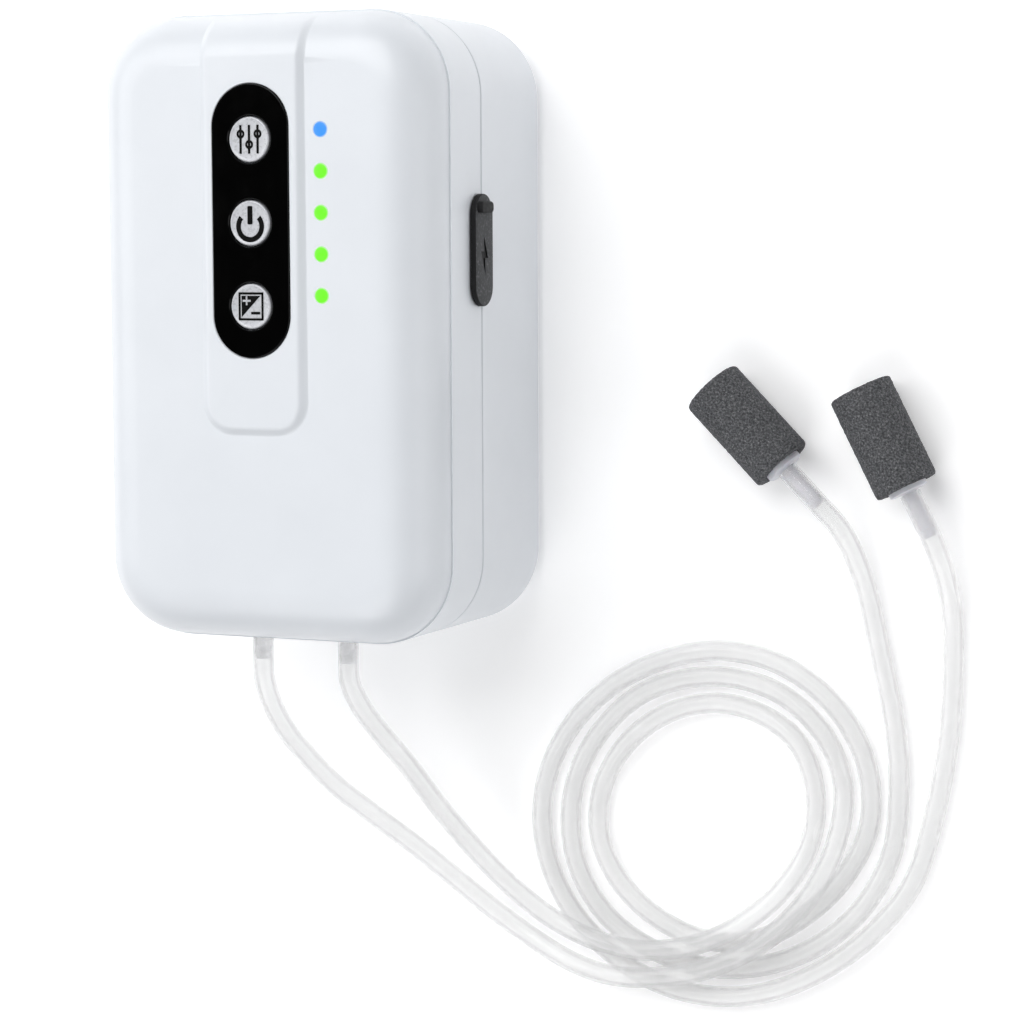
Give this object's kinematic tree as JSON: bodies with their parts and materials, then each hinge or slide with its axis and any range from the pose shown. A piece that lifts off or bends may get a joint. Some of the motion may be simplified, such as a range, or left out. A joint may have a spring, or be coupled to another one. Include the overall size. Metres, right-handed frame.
{
  "type": "aquarium air pump",
  "caption": "Rounded white battery air pump with a raised control strip, side charging cover and clear hoses ending in grey air stones.",
  "frame": {"origin": "middle of the pump's footprint on the table, with the port cover and the outlet barbs counted and the free hoses not", "axes": "the pump lies on its back: +X across its width towards the charging port, +Y along its height towards the top end, +Z out of the front face with the buttons"},
  "size_m": [0.1899, 0.2329, 0.0681],
  "materials": {
    "case_white": "smooth satin-gloss white ABS",
    "panel_black": "high gloss black acrylic",
    "button_silver": "pale silver gloss with printed black symbols",
    "lens_blue": "clear light pipe, lit blue",
    "lens_green": "clear light pipe, lit green",
    "dark_rubber": "speckled matte dark grey rubber",
    "engine_rubber": "matte black rubber",
    "steel": "plated steel",
    "core_iron": "stacked laminations",
    "magnet": "plated magnet",
    "copper": "enamelled copper winding",
    "board": "green circuit board",
    "chip_black": "moulded black",
    "cell_wrap": "blue heat-shrink over a metal can",
    "wire_red": "red wire insulation",
    "wire_black": "black wire insulation",
    "chassis": "pale grey moulding",
    "felt": "white felt",
    "silicone": "clear silicone tube",
    "stone": "sintered dark grey grains",
    "stem_plastic": "pale translucent plastic"
  },
  "bodies": {
    "pump_body": {"front_shell": "case_white", "rear_shell": "case_white", "button_panel": "panel_black", "charge_lens": "lens_blue", "level_lens_1": "lens_green", "level_lens_2": "lens_green", "level_lens_3": "lens_green", "level_lens_4": "lens_green", "control_board": "board", "mode_switch": "chip_black", "power_switch": "chip_black", "level_switch": "chip_black", "controller_chip": "chip_black", "charge_port": "steel", "charge_board": "board", "battery_cell_1": "cell_wrap", "battery_cell_2": "cell_wrap", "battery_lead_red": "wire_red", "battery_lead_black": "wire_black", "charge_lead": "wire_red", "coil_lead": "wire_black", "pump_chassis": "chassis", "magnet_core": "core_iron", "coil_winding": "copper", "left_pivot_bush": "engine_rubber", "left_bellows": "engine_rubber", "left_valve_block": "chassis", "left_inner_hose": "silicone", "left_outlet_nozzle": "stem_plastic", "right_pivot_bush": "engine_rubber", "right_bellows": "engine_rubber", "right_valve_block": "chassis", "right_inner_hose": "silicone", "right_outlet_nozzle": "stem_plastic", "case_screw_1": "steel", "rubber_foot_1": "engine_rubber", "case_screw_2": "steel", "rubber_foot_2": "engine_rubber", "case_screw_3": "steel", "rubber_foot_3": "engine_rubber", "case_screw_4": "steel", "rubber_foot_4": "engine_rubber", "intake_filter": "felt", "left_air_hose": "silicone", "left_stone_stem": "stem_plastic", "left_air_stone": "stone", "right_air_hose": "silicone", "right_stone_stem": "stem_plastic", "right_air_stone": "stone"},
    "mode_key": {"mode_button": "button_silver", "mode_plunger": "stem_plastic"},
    "power_key": {"power_button": "button_silver", "power_plunger": "stem_plastic"},
    "level_key": {"level_button": "button_silver", "level_plunger": "stem_plastic"},
    "port_cover": {"port_cover": "dark_rubber"},
    "left_arm": {"left_swing_arm": "steel", "left_arm_magnet": "magnet"},
    "right_arm": {"right_swing_arm": "steel", "right_arm_magnet": "magnet"}
  },
  "joints": [
    {"name": "mode_press", "type": "slide", "parent": "pump_body", "child": "mode_key", "axis": [0, 0, -1], "range_m": [0, 0.0005], "stiffness_N_per_m": 800},
    {"name": "power_press", "type": "slide", "parent": "pump_body", "child": "power_key", "axis": [0, 0, -1], "range_m": [0, 0.0005], "stiffness_N_per_m": 800},
    {"name": "level_press", "type": "slide", "parent": "pump_body", "child": "level_key", "axis": [0, 0, -1], "range_m": [0, 0.0005], "stiffness_N_per_m": 800},
    {"name": "port_cover_swing", "type": "hinge", "parent": "pump_body", "child": "port_cover", "pos_m": [0.042, 0.0082, 0.0389], "axis": [0, 0, -1], "range_deg": [0, 110]},
    {"name": "left_arm_swing", "type": "hinge", "parent": "pump_body", "child": "left_arm", "pos_m": [-0.02065, -0.00475, 0.02], "axis": [0, 0, 1], "range_deg": [-2.5, 2.5], "stiffness_Nm_per_rad": 0.6, "deforming": ["left_bellows"]},
    {"name": "right_arm_swing", "type": "hinge", "parent": "pump_body", "child": "right_arm", "pos_m": [0.01775, -0.00475, 0.02], "axis": [0, 0, 1], "range_deg": [-2.5, 2.5], "stiffness_Nm_per_rad": 0.6, "deforming": ["right_bellows"]}
  ],
  "couplings": [
    {"joint": "right_arm_swing", "follows": "left_arm_swing", "ratio": -1}
  ]
}
